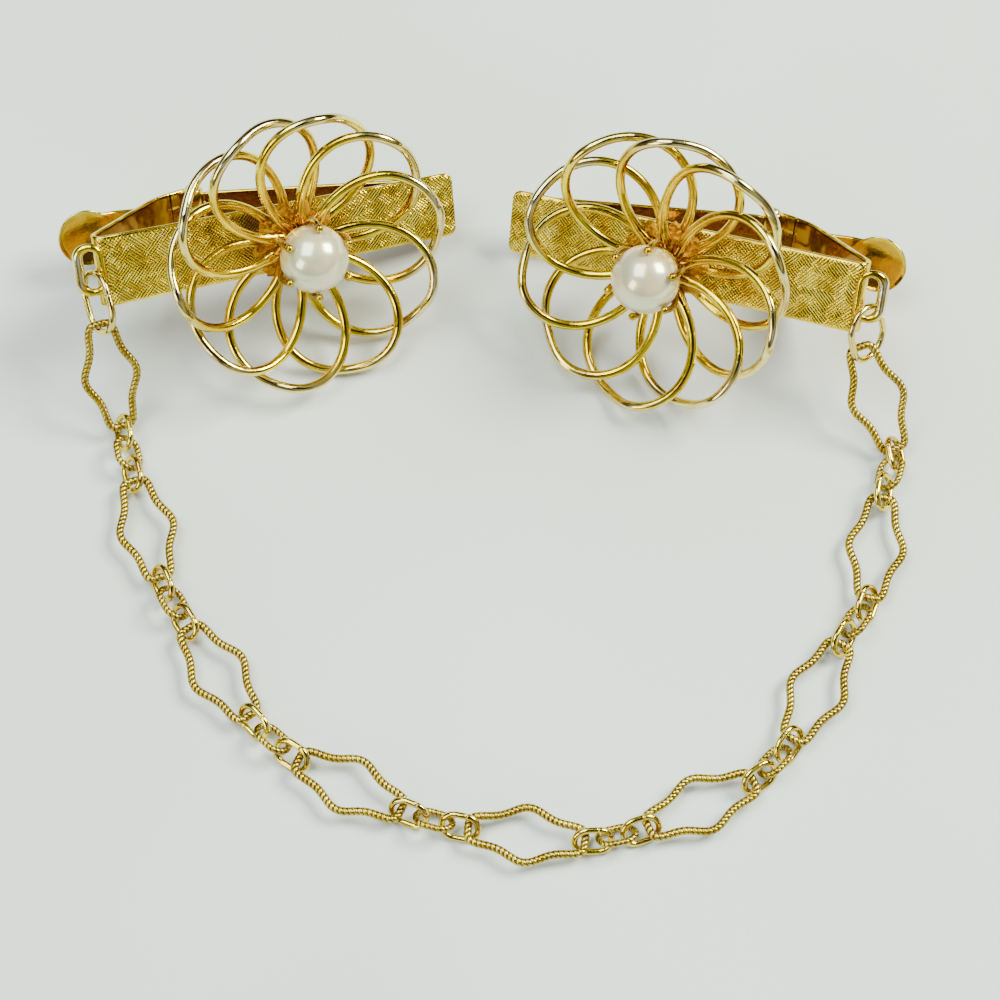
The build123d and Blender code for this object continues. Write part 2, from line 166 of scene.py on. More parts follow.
def tube(path, radii, up, sides=16, closed=False, spin=0.0):
    """Grid round a path: the path plus a circle across it, of the radius there or at each angle.
    Its first axis is the up vector crossed with the direction of travel, turned by the spin."""
    if closed:
        along = unit(np.roll(path, -1, 0) - np.roll(path, 1, 0))
    else:
        along = unit(np.gradient(path, axis=0))
    across = unit(np.cross(np.broadcast_to(up, path.shape), along))
    lift = np.cross(along, across)
    angle = np.linspace(0, 2 * np.pi, sides, endpoint=False)[None, :, None]
    angle = angle + np.reshape(spin, (-1, 1, 1))
    if np.ndim(radii) == 1:
        radii = np.reshape(radii, (-1, 1))
    radii = np.broadcast_to(radii, (len(path), sides))[..., None]
    return path[:, None] + radii * (np.cos(angle) * across[:, None] + np.sin(angle) * lift[:, None])


def lathe(profile, sides=48):
    """Grid of a profile of (radius, height) turned about the axis z."""
    angle = np.linspace(0, 2 * np.pi, sides, endpoint=False)
    r, z = profile[:, :1], profile[:, 1:]
    return np.stack([r * np.cos(angle), r * np.sin(angle), z + 0 * angle], -1)


def round_off(profile, radius, steps=5):
    """Profile with each inner corner replaced by a short curve that leaves it a radius away."""
    out = [profile[:1]]
    t = np.linspace(0, 1, steps)[:, None]
    for a, b, c in zip(profile, profile[1:], profile[2:]):
        reach = min(radius, 0.45 * np.linalg.norm(a - b), 0.45 * np.linalg.norm(c - b))
        p, q = b + unit(a - b) * reach, b + unit(c - b) * reach
        out.append((1 - t) ** 2 * p + 2 * t * (1 - t) * b + t ** 2 * q)
    out.append(profile[-1:])
    return np.vstack(out)


def strip(path, half_width, thickness, lift=None, middle=0.0, samples=21, edge=0.14):
    """Grid round a strip bent along a path (x, z), with the distances along it and across it.

    At each point of the path the section is a rectangle with rounded edges, half_width to each
    side of y = middle and thickness high. lift(s, y) raises the sheet along its normal, for a dish.
    """
    along = unit(np.gradient(path, axis=0))
    normal = np.stack([-along[:, 1], along[:, 0]], -1)
    s = lengths(path)
    half = thickness / 2
    t = np.linspace(-1, 1, samples)
    bend = np.linspace(-np.pi / 2, np.pi / 2, 7)[1:-1]
    inset = np.r_[t * 0, np.cos(bend), t * 0, -np.cos(bend)]
    flat = np.r_[t, bend * 0 + 1, t[::-1], bend * 0 - 1]
    height = np.r_[t * 0 - 1, np.sin(bend), t * 0 + 1, -np.sin(bend)]
    width = np.maximum(half_width, edge)[:, None]
    y = flat * (width - edge) + inset * edge
    up = height * half
    if lift is not None:
        up = up + lift(s[:, None], y)
    x = path[:, :1] + normal[:, :1] * up
    z = path[:, 1:] + normal[:, 1:] * up
    return np.stack([x, y + middle, z], -1), s, y


def stadium(bend_radius, half_straight, count):
    """Closed middle line of an oval ring, long along x: two half circles joined by straights."""
    a = np.linspace(0, 2 * np.pi, 721)
    c = np.round(np.cos(a), 9)
    x = bend_radius * c + half_straight * np.sign(c)
    return even(np.stack([x, bend_radius * np.sin(a), 0 * a], -1), count, closed=True)


class Surface:
    """Grids gathered into one mesh, with a mark from -1 to 1 for wear and painted light and a place
    on the flat sheet in millimetres for each vertex."""

    def __init__(self):
        self.points, self.quads, self.fans, self.marks, self.plans = [], [], [], [], []
        self.count = 0

    def add(self, grid, closed=False, mark=0.0, plan=None, place=None):
        """Adds a grid of rows round a path. closed joins the last row to the first; otherwise each
        end gets a fan round its middle point. Faces run so that they point outwards."""
        n, m = grid.shape[:2]
        index = self.count + np.arange(n * m).reshape(n, m)
        rows = index if not closed else np.vstack([index, index[:1]])
        wrapped = np.hstack([rows, rows[:, :1]])
        corners = wrapped[:-1, :-1], wrapped[:-1, 1:], wrapped[1:, 1:], wrapped[1:, :-1]
        self.quads.append(np.stack(corners, -1).reshape(-1, 4))
        flat = grid.reshape(-1, 3)
        marks = np.broadcast_to(np.asarray(mark, float), (n, m)).reshape(-1)
        plans = np.zeros((n * m, 2)) if plan is None else plan.reshape(-1, 2)
        if not closed:
            ends = np.stack([grid[0].mean(0), grid[-1].mean(0)])
            flat = np.vstack([flat, ends])
            marks = np.r_[marks, marks[0], marks[-1]]
            plans = np.vstack([plans, plans[:1], plans[-1:]])
            first, last = self.count + n * m, self.count + n * m + 1
            a, b = index[0], np.roll(index[0], -1)
            self.fans.append(np.stack([np.full(m, first), b, a], -1))
            a, b = index[-1], np.roll(index[-1], -1)
            self.fans.append(np.stack([np.full(m, last), a, b], -1))
        if place is not None:
            flat = flat @ place[0].T + place[1]
        self.points.append(flat)
        self.marks.append(marks)
        self.plans.append(plans)
        self.count += len(flat)
        return self

    def build(self, name, material, body, *nodes, slot, place=None):
        """Object at the origin, its place in its mesh, standing for the CAD nodes named."""
        points = np.vstack(self.points)
        if place is not None:
            points = points @ place[0].T + place[1]
        points = points / MM
        quads = np.vstack(self.quads)
        fans = np.vstack(self.fans) if self.fans else np.zeros((0, 3), int)
        mesh = bpy.data.meshes.new(name)
        mesh.vertices.add(len(points))
        mesh.vertices.foreach_set("co", points.astype(np.float32).ravel())
        corner = np.r_[quads.ravel(), fans.ravel()]
        mesh.loops.add(len(corner))
        mesh.loops.foreach_set("vertex_index", corner.astype(np.int32))
        mesh.polygons.add(len(quads) + len(fans))
        starts = np.r_[np.arange(len(quads)) * 4, quads.size + np.arange(len(fans)) * 3]
        mesh.polygons.foreach_set("loop_start", starts.astype(np.int32))
        mesh.polygons.foreach_set("use_smooth", np.ones(len(starts), bool))
        mesh.update(calc_edges=True)
        # Each vertex's mark: wear, and the painted shade and painted reflection that the finishes
        # put by it
        wear_and_painted_light = mesh.attributes.new("wear_and_painted_light", "FLOAT", "POINT")
        wear_and_painted_light.data.foreach_set("value", np.concatenate(self.marks).astype(np.float32))
        plan = mesh.uv_layers.new(name="plan")
        plan.data.foreach_set("uv", np.vstack(self.plans)[corner].astype(np.float32).ravel())
        mesh.validate()
        obj = bpy.data.objects.new(name, mesh)
        bpy.context.scene.collection.objects.link(obj)
        mesh.materials.append(material)
        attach(obj, body)
        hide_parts(*nodes)


# ---- materials ----


def connect(tree, made, inputs):
    """Links a socket to each input of a node, or sets the input. A hex colour is made linear."""
    for key, value in inputs.items():
        if isinstance(value, bpy.types.NodeSocket):
            tree.links.new(value, made.inputs[key])
        else:
            value = (*linear(value), 1.0) if isinstance(value, str) else value
            made.inputs[key].default_value = value


def node(tree, kind, inputs, out=None, stops=(), **settings):
    """Adds a shader node with its settings, colour stops and inputs, and gives back an output."""
    made = tree.nodes.new("ShaderNode" + kind)
    for key, value in settings.items():
        setattr(made, key, value)
    for number, (position, code) in enumerate(stops):
        elements = made.color_ramp.elements
        element = elements[number] if number < 2 else elements.new(position)
        element.position = position
        element.color = (*linear(code), 1.0)
    connect(tree, made, inputs)
    return made.outputs[out] if out else next(socket for socket in made.outputs if socket.enabled)


def start(name):
    """New material, its tree, and object coordinates in millimetres."""
    material = bpy.data.materials.new(name)
    material.use_nodes = True
    tree = material.node_tree
    place = node(tree, "TexCoord", {}, "Object")
    return material, tree, node(tree, "VectorMath", {0: place, "Scale": 1000.0}, operation="SCALE")


def mottle(tree, vector, size, detail=3.0, low=0.0, high=1.0):
    """Soft patches about as wide as the size given in millimetres, spread from low to high."""
    patches = node(tree, "TexNoise", {"Vector": vector, "Scale": 1.0 / size, "Detail": detail})
    return node(tree, "MapRange", {"Value": patches, "From Min": 0.35, "From Max": 0.65,
                                   "To Min": low, "To Max": high})


def shade(material, **inputs):
    """Sets or links the principled shader's inputs, named with underscores for spaces."""
    tree = material.node_tree
    named = {key.replace("_", " "): value for key, value in inputs.items()}
    connect(tree, tree.nodes["Principled BSDF"], named)
    return material


def polished_gold(name, deep, bright, worn, roughness, wear_from, wear_to):
    """Gold plated brass, buffed, and paler where handling thinned the plate. A wear number below
    nought marks painted shade, which turns the gold orange brown."""
    material, tree, mm = start(name)
    wear_and_painted_light = node(tree, "Attribute", {}, "Fac", attribute_name="wear_and_painted_light")
    body = node(tree, "Mix", {0: mottle(tree, mm, 3.5), 6: deep, 7: bright}, data_type="RGBA")
    # Painted shade: where the mark is below nought the gold turns orange brown
    shaded = node(tree, "Math", {0: wear_and_painted_light, 1: -1.0}, operation="MULTIPLY", use_clamp=True)
    body = node(tree, "Mix", {0: shaded, 6: body, 7: SHADE_BROWN}, data_type="RGBA")
    rubbed = node(tree, "MapRange", {"Value": wear_and_painted_light, "From Min": wear_from, "From Max": wear_to})
    patchy = node(tree, "Math", {0: rubbed, 1: mottle(tree, mm, 1.2, 4.0, 0.35, 1.1)},
                  operation="MULTIPLY", use_clamp=True)
    colour = node(tree, "Mix", {0: patchy, 6: body, 7: worn}, data_type="RGBA")
    pits = node(tree, "MapRange", {"Value": shaded, "To Min": 0.12, "To Max": 0.2})
    bump = node(tree, "Bump", {"Height": mottle(tree, mm, 0.6, 4.0), "Strength": pits,
                               "Distance": 0.00005})
    return shade(material, Base_Color=colour, Metallic=1.0, Normal=bump,
                 Roughness=mottle(tree, mm, 0.9, 5.0, roughness * 0.8, roughness * 1.35))


def engraved_gold(name, deep, bright, worn, groove_shade):
    """Gold plated brass sheet, engraved with fine lines that run both ways in crossing patches.

    The lines are 0.28 mm apart, as on the real sheet, and read the sheet's own plan in millimetres.
    Along its length each is painted a little brighter or duller, and pale streaks of painted
    highlight on the front face make the sheet glitter. Towards the fold the sheet leans back a
    little.
    """
    material, tree, mm = start(name)
    plan = node(tree, "UVMap", {}, uv_map="plan")
    lines, streaks = [], []
    for angle in (math.radians(47.0), math.radians(-43.0)):
        turned = node(tree, "Mapping", {"Vector": plan, "Rotation": (0, 0, angle)})
        lines.append(node(tree, "TexWave", {
            "Vector": turned, "Scale": 1.12, "Distortion": 1.5, "Detail": 3.0,
            "Detail Scale": 1.4}, "Fac", wave_profile="TRI"))
        drawn = node(tree, "Mapping", {"Vector": plan, "Rotation": (0, 0, -angle),
                                       "Scale": (0.28, 2.6, 1.0)}, vector_type="TEXTURE")
        streaks.append(node(tree, "TexNoise", {"Vector": drawn, "Scale": 1.0, "Detail": 2.0}))
    patch = node(tree, "TexNoise", {"Vector": plan, "Scale": 0.62, "Detail": 3.0})
    choice = node(tree, "MapRange", {"Value": patch, "From Min": 0.45, "From Max": 0.55})
    picked = node(tree, "Mix", {0: choice, 2: lines[0], 3: lines[1]})
    crossed = node(tree, "Math", {0: lines[0], 1: lines[1]}, operation="MULTIPLY")
    pattern = node(tree, "Mix", {0: 0.35, 2: picked, 3: crossed})
    streak = node(tree, "Mix", {0: choice, 2: streaks[0], 3: streaks[1]})
    side = node(tree, "Attribute", {}, "Fac", attribute_name="wear_and_painted_light")
    front = node(tree, "Math", {0: side, 1: 0.0}, operation="MAXIMUM")
    # Painted shade: the engraved lines are dark on the front face
    cut = node(tree, "MapRange", {"Value": pattern, "From Min": 0.06, "From Max": 0.44,
                                  "To Min": 1.0, "To Max": 0.0})
    cut = node(tree, "Math", {0: cut, 1: front}, operation="MULTIPLY")
    # Painted highlight: pale streaks along the lines on the front face, a painted glitter
    painted_glint = node(tree, "MapRange", {"Value": streak, "From Min": 0.52, "From Max": 0.66})
    painted_glint = node(tree, "Math", {0: painted_glint, 1: mottle(tree, mm, 2.4)}, operation="MULTIPLY")
    painted_glint = node(tree, "Math", {0: painted_glint, 1: front}, operation="MULTIPLY")
    body = node(tree, "Mix", {0: mottle(tree, mm, 2.4), 6: deep, 7: bright}, data_type="RGBA")
    body = node(tree, "Mix", {0: painted_glint, 6: body, 7: worn}, data_type="RGBA")
    # Painted shade in orange brown on the inner faces, where the mark is below nought
    shaded = node(tree, "Math", {0: side, 1: -1.0}, operation="MULTIPLY", use_clamp=True)
    body = node(tree, "Mix", {0: shaded, 6: body, 7: SHADE_BROWN}, data_type="RGBA")
    colour = node(tree, "Mix", {0: cut, 6: body, 7: groove_shade}, data_type="RGBA")
    rough = node(tree, "MapRange", {"Value": front, "To Min": 0.16, "To Max": 0.24})
    along = node(tree, "SeparateXYZ", {0: plan}, "X")
    curl = node(tree, "MapRange", {"Value": along, "From Min": 29.0, "From Max": 38.0})
    curl = node(tree, "Math", {0: curl, 1: 2.0}, operation="POWER")
    curl = node(tree, "Bump", {"Height": curl, "Strength": 1.0, "Distance": 0.0007}, invert=True)
    sheet = node(tree, "Bump", {"Height": mottle(tree, mm, 5.0, 2.0), "Strength": 0.5,
                                "Distance": 0.0003, "Normal": curl})
    height = node(tree, "Mix", {0: 0.4, 2: pattern, 3: streak})
    height = node(tree, "Math", {0: height, 1: front}, operation="MULTIPLY")
    bump = node(tree, "Bump", {"Height": height, "Strength": 0.9, "Distance": 0.00013,
                               "Normal": sheet})
    return shade(material, Base_Color=colour, Metallic=1.0, Roughness=rough, Normal=bump)


def solder_gold(name, deep, bright):
    """Brass solder under gold plate, as it froze: rough, pitted and more orange than the wire."""
    material, tree, mm = start(name)
    patches = mottle(tree, mm, 0.8, 5.0)
    colour = node(tree, "Mix", {0: patches, 6: deep, 7: bright}, data_type="RGBA")
    bump = node(tree, "Bump", {"Height": mottle(tree, mm, 0.45, 6.0), "Strength": 0.8,
                               "Distance": 0.00025})
    return shade(material, Base_Color=colour, Metallic=1.0, Roughness=0.36, Normal=bump)


def twisted_gold(name, groove_shade, deep, bright, worn):
    """Gold plated twisted wire: painted shade darkens the grooves; satin and a little paler along
    the ridges.
    """
    material, tree, mm = start(name)
    wear_and_painted_light = node(tree, "Attribute", {}, "Fac", attribute_name="wear_and_painted_light")
    body = node(tree, "Mix", {0: mottle(tree, mm, 2.5), 6: deep, 7: bright}, data_type="RGBA")
    # Painted shade: the grooves darken away from the ridges
    depth = node(tree, "MapRange", {"Value": wear_and_painted_light, "From Min": 0.1, "From Max": 0.62, "To Min": 1.0,
                                    "To Max": 0.0})
    colour = node(tree, "Mix", {0: depth, 6: body, 7: groove_shade}, data_type="RGBA")
    ridge = node(tree, "MapRange", {"Value": wear_and_painted_light, "From Min": 0.7, "From Max": 1.0})
    rubbed = node(tree, "Math", {0: ridge, 1: mottle(tree, mm, 1.5, 3.0, 0.0, 0.35)},
                  operation="MULTIPLY", use_clamp=True)
    colour = node(tree, "Mix", {0: rubbed, 6: colour, 7: worn}, data_type="RGBA")
    return shade(material, Base_Color=colour, Metallic=1.0,
                 Roughness=mottle(tree, mm, 0.8, 3.0, 0.26, 0.38))


def pearl_coat(name, cream, rose, sea, painted_reflection):
    """Imitation pearl: nacre lacquer over a bead, cream with rose and sea green drifts and a clear
    gloss. The mark grows towards the seat, where a painted reflection of the gold setting tints the
    pearl honey.
    """
    material, tree, mm = start(name)
    drift = mottle(tree, mm, 3.2, 2.0, 0.0, 0.8)
    colour = node(tree, "Mix", {0: drift, 6: cream, 7: rose}, data_type="RGBA")
    aside = node(tree, "VectorMath", {0: mm, 1: (9.0, 4.0, 2.0)})
    drift = mottle(tree, aside, 3.8, 2.0, 0.0, 0.7)
    colour = node(tree, "Mix", {0: drift, 6: colour, 7: sea}, data_type="RGBA")
    depth = node(tree, "Attribute", {}, "Fac", attribute_name="wear_and_painted_light")
    colour = node(tree, "Mix", {0: depth, 6: colour, 7: painted_reflection}, data_type="RGBA")
    bump = node(tree, "Bump", {"Height": mottle(tree, mm, 0.6, 4.0), "Strength": 0.05,
                               "Distance": 0.00003})
    return shade(material, Base_Color=colour, Metallic=0.4, Roughness=0.24, Coat_Weight=1.0,
                 Coat_Roughness=0.04, Coat_IOR=1.65, Sheen_Weight=0.1, Normal=bump)


def spring_steel(name):
    """Drawn spring steel under thin plate: grey with a yellow cast."""
    material, tree, mm = start(name)
    patches = mottle(tree, mm, 0.8)
    colour = node(tree, "Mix", {0: patches, 6: "#A89A70", 7: "#D2C48E"}, data_type="RGBA")
    return shade(material, Base_Color=colour, Metallic=1.0, Roughness=0.3)


def table_paper(name):
    """Matt pale card: cool grey with a faint mottle and a tooth of half a millimetre."""
    material, tree, mm = start(name)
    patches = mottle(tree, mm, 90.0, 2.0)
    colour = node(tree, "Mix", {0: patches, 6: "#CDCFC8", 7: "#D8DDD8"}, data_type="RGBA")
    bump = node(tree, "Bump", {"Height": mottle(tree, mm, 0.5), "Strength": 0.05,
                               "Distance": 0.00002})
    return shade(material, Base_Color=colour, Roughness=0.75, Normal=bump)


MATERIALS = {}


def finish(key):
    """Material by name, made once from the colours in the panel."""
    if key not in MATERIALS:
        c = bpy.context.scene.sweater_clip_colours
        deep, bright, worn, groove_shade, cream = ((*value, 1.0) for value in (
            c.gold_deep, c.gold_bright, c.worn_plate, c.groove_shade, c.pearl))
        maker, *values = {
            "petal": (polished_gold, "gold_plated_wire", deep, bright, worn, 0.12, 0.62, 1.0),
            "sheet": (polished_gold, "gold_plated_sheet", deep, bright, worn, 0.13, 0.7, 1.0),
            # On the engraved plate the pale yellow given as worn plate is the colour of its painted
            # highlight
            "plate": (engraved_gold, "engraved_gold_plate", deep, "#FFE038", "#FFF48C", groove_shade),
            "hub": (solder_gold, "gold_plated_solder", "#A0660A", "#D09A14"),
            "chain": (twisted_gold, "twisted_gold_wire", groove_shade, "#A48414", "#CCB03A", worn),
            "prong": (polished_gold, "gold_plated_setting", "#8E640E", deep, bright, 0.2, 0.8, 1.3),
            # The pearl's honey colour is a painted reflection of the gold setting
            "pearl": (pearl_coat, "pearl_lacquer", cream, "#E4C2A0", "#CAD6B4", "#DDB860"),
            "spring": (spring_steel, "plated_spring_steel"),
            "table": (table_paper, "pale_card"),
        }[key]
        MATERIALS[key] = maker(*values)
    return MATERIALS[key]


def studio_world():
    """Room round the table: a dark patch above the front edge, a pale ceiling round it that falls
    to dim walls, and broad soft blotches for what stands in the room."""
    world = bpy.data.worlds.new("studio")
    world.use_nodes = True
    tree = world.node_tree
    direction = node(tree, "TexCoord", {}, "Generated")
    seen = node(tree, "VectorMath", {0: direction, 1: (0.0, -0.42, 0.91)}, operation="DOT_PRODUCT")
    bands = node(tree, "ValToRGB", {"Fac": seen}, stops=(
        (0.0, "#5E564C"), (0.35, "#7C766C"), (0.62, "#D9DDE0"), (0.86, "#F4F7FA"),
        (0.93, "#3A3630"), (1.0, "#26231F")))
    blotch = node(tree, "TexNoise", {"Vector": direction, "Scale": 2.3, "Detail": 1.0})
    strength = node(tree, "MapRange", {"Value": blotch, "From Min": 0.42, "From Max": 0.58,
                                       "To Min": 0.12, "To Max": 0.78})
    connect(tree, tree.nodes["Background"], {"Color": bands, "Strength": strength})
    return world


# ---- shapes ----


def petal_path(count, reach, widest, root=1.2, cut=1.5):
    """Middle line of a petal along x. The distance out follows a cosine, the width a sine drawn in
    at the hub by a power, and the height a bowl, each strand raised or lowered by its side."""
    waist, bowl, bowl_power, cross, cross_reach = 0.194, 4.4, 1.7, 1.4, 2.5
    share = (cut - root) / (PETAL_REACH - root)
    last = math.acos(2 * share - 1)
    a = np.linspace(-last, last, 900)
    opening = (1 + np.cos(a)) / 2
    half = math.atan(1 / math.sqrt(1 + 2 * waist))
    peak = 2 * math.sin(half) * math.cos(half) ** (1 + 2 * waist)
    out = root + (reach - root) * opening
    side = widest * np.sin(a) * opening ** waist / peak
    height = bowl * (out / PETAL_REACH) ** bowl_power + cross * side / np.hypot(side, cross_reach)
    return even(np.stack([out, side, height], -1), count)


def link_path(count, end_half=1.5, extra=1.26, power=6.0, square=5.0):
    """Closed middle line of a wavy link: a square ended oval, widened in the middle by a power of
    a cosine."""
    a = np.linspace(0, 2 * np.pi, 4001)
    c, s = np.cos(a), np.sin(a)
    x = LINK_LENGTH / 2 * np.sign(c) * np.abs(c) ** (2 / square)
    width = end_half + extra * np.abs(np.cos(np.pi * x / LINK_LENGTH)) ** power
    y = width * np.sign(s) * np.abs(s) ** (2 / square)
    return even(np.stack([x, y, 0 * a], -1), count, closed=True)


def twisted(path, radius, pitch, sides, depth):
    """Grid and ridge marks of a closed twisted wire. The section's radius follows the size of the
    cosine of its angle, two strands side by side, and it turns once in each pitch of the wire."""
    steps = np.linalg.norm(np.roll(path, -1, 0) - path, axis=1)
    turns = round(steps.sum() / pitch)
    spin = 2 * np.pi * turns * np.r_[0, np.cumsum(steps)[:-1]] / steps.sum()
    ridge = np.abs(np.cos(np.linspace(0, 2 * np.pi, sides, endpoint=False)))
    radii = radius * (1 - depth + depth * ridge ** 0.7)
    radii = np.broadcast_to(radii, (len(path), sides))
    return tube(path, radii, (0, 0, 1.0), sides, True, spin), ridge


def clip_band_path():
    """Middle line (x, z) of the band past the plate: the fold, the sloping arm's two ends, the
    curve before the knuckles and the point where their tabs end."""
    slope, tail_slope, curve_radius, arm_length, tail_length = -43, -17, 8.0, 9.7, 2.4
    fold = np.array((FOLD_X, PLATE_MIDDLE - FOLD_RADIUS))
    bend = arc(fold, FOLD_RADIUS, 90, 270 + slope, 40)
    down = ray(slope)
    knee = bend[-1] + down * arm_length
    centre = knee + curve_radius * np.array((-down[1], down[0]))
    curve = arc(centre, curve_radius, slope - 90, tail_slope - 90, 14)
    tail = curve[-1] + tail_length * ray(tail_slope)
    return bend, np.vstack([bend[-1:], knee[None]]), curve, tail


def about_pin(y):
    """Matrix and origin that lay a lathe's axis along the pivot pin at a distance along it."""
    return np.array(((1, 0, 0), (0, 0, 1), (0, -1, 0)), float), np.array((PIVOT[0], y, PIVOT[1]))


def add_knuckle(surface, middle, half):
    """Adds a short tube about the pin: a closed profile with rounded corners, turned about y."""
    e, c = 0.12, 0.036
    profile = np.array([
        (BORE + e, -half), (KNUCKLE - e, -half), (KNUCKLE - c, -half + c), (KNUCKLE, -half + e),
        (KNUCKLE, half - e), (KNUCKLE - c, half - c), (KNUCKLE - e, half), (BORE + e, half),
        (BORE, half - e), (BORE, -half + e)])
    grid = np.swapaxes(lathe(profile, 40), 0, 1)[::-1]
    surface.add(grid, closed=True, place=about_pin(middle))


class SweaterClipSizes(bpy.types.PropertyGroup):
    """Sizes of the sweater clip's own wires."""

    petal_wire: FloatProperty(
        name="Petal wire", description="Diameter of the flower's wire",
        default=0.00098, unit="LENGTH")
    petal_reach: FloatProperty(
        name="Petal reach", description="From the flower's axis to a petal's tip",
        default=0.0144, unit="LENGTH")
    petal_width: FloatProperty(
        name="Petal half width", description="Half of a petal's greatest width",
        default=0.00615, unit="LENGTH")
    petals: IntProperty(name="Petals", description="Looped wires in a flower", default=10)
    pearl: FloatProperty(
        name="Pearl", description="Diameter of a pearl", default=0.007, unit="LENGTH")
    link_wire: FloatProperty(
        name="Link wire", description="Diameter of the wavy links' twisted wire",
        default=0.00084, unit="LENGTH")
    twist_pitch: FloatProperty(
        name="Twist pitch", description="Length in which the strands turn once",
        default=0.00094, unit="LENGTH")
    ring_wire: FloatProperty(
        name="Ring wire", description="Diameter of the small rings' wire",
        default=0.00065, unit="LENGTH")
    jump_wire: FloatProperty(
        name="Jump ring wire", description="Diameter of the jump rings' wire",
        default=0.0007, unit="LENGTH")


class SweaterClipColours(bpy.types.PropertyGroup):
    """Colours of the plate and the pearls."""

    gold_deep: FloatVectorProperty(
        name="Deep gold", description="Gold where the plate is thick",
        subtype="COLOR", default=linear("#C29E0C"), min=0, max=1)
    gold_bright: FloatVectorProperty(
        name="Bright gold", description="Gold where the plate is thin",
        subtype="COLOR", default=linear("#F0D82A"), min=0, max=1)
    worn_plate: FloatVectorProperty(
        name="Worn plate", description="Silvery colour of rubbed plate",
        subtype="COLOR", default=linear("#E4DEB8"), min=0, max=1)
    # Dark colour of the painted shade in engraved lines and in the twists' grooves
    groove_shade: FloatVectorProperty(
        name="Groove", description="Dark colour in engraved lines and twists",
        subtype="COLOR", default=linear("#4C3A08"), min=0, max=1)
    pearl: FloatVectorProperty(
        name="Pearl", description="Cream of the pearls",
        subtype="COLOR", default=linear("#E8D6A4"), min=0, max=1)


class SWEATERCLIP_OT_flowers(bpy.types.Operator):
    """Ten looped wires and a soldered hub on each clip"""
    bl_idname = "sweaterclip.flowers"
    bl_label = "Flowers"

    def execute(self, context):
        sizes = context.scene.sweater_clip_sizes
        for side, seed in (("left", 3), ("right", 8)):
            rng = np.random.default_rng(seed)
            wires = Surface()
            for i in range(sizes.petals):
                reach = sizes.petal_reach * MM * (1 - rng.uniform(0, 0.02))
                width = sizes.petal_width * MM * (1 - rng.uniform(-0.01, 0.03))
                path = petal_path(150, reach, width)
                from_axis = np.hypot(path[:, 0], path[:, 1])
                solder = 1 + 0.62 * np.exp(-(np.maximum(from_axis - 2.2, 0) / 1.7) ** 2)
                grid = tube(path, sizes.petal_wire * HALF_MM * solder, (0, 0, 1.0), 18)
                rough = np.clip((5.0 - from_axis) / 2.4, 0, 1)[:, None]
                rough = rough * (waves(grid, seed + i, 1.1) * 0.07
                                 + waves(grid, seed + i + 40, 0.5) * 0.04)
                grid = grid + rough[..., None] * unit(grid - path[:, None])
                out = np.hypot(grid[..., 0], grid[..., 1]) / PETAL_REACH
                wear_and_painted_light = np.clip(out, 0, 1) ** 2 * rng.uniform(0.75, 1.0)
                # Painted shade: the petals' roots by the hub, under the pearl, turn orange brown
                wear_and_painted_light = wear_and_painted_light - np.clip(1.25 - out * 2.9, 0, 0.85)
                heading = CLIPS[side]["petal_turn"] + 360 * i / sizes.petals
                heading = turn("z", heading + rng.uniform(-0.8, 0.8))
                wires.add(grid, mark=wear_and_painted_light, place=(heading, np.zeros(3)))
            wires.build(f"{side}_flower_wires", finish("petal"), BODY, f"{side}_flower",
                        slot="flower_gold", place=clip_place(side))

            reach = 4.3
            profile = round_off(np.array((
                (0.0, -2.2), (1.9, -2.2), (1.9, -1.3), (2.6, -1.1), (3.3, -0.5), (reach, 0.35),
                (3.5, 0.8), (2.5, 1.25), (1.8, 1.45), (0.0, 1.5))), 0.3)
            grid = lathe(even(profile, 110), 180)
            bumps = waves(grid, seed, 1.2) * 0.16 + waves(grid, seed + 1, 0.5) * 0.07
            from_axis = np.hypot(grid[..., 0], grid[..., 1])
            heading = np.arctan2(grid[..., 1], grid[..., 0])
            heading = heading - math.radians(CLIPS[side]["petal_turn"])
            petals = 0.5 * np.clip(from_axis / reach, 0, 1) ** 3 * np.cos(10 * heading)
            push = 1 + (bumps + petals) / 3.2 * (grid[..., 2] > -1.4)
            grid = grid * np.stack([push, push, np.ones_like(push)], -1)
            Surface().add(grid).build(f"{side}_flower_hub", finish("hub"), BODY, f"{side}_flower",
                                      slot="flower_gold", place=clip_place(side))
        return {"FINISHED"}


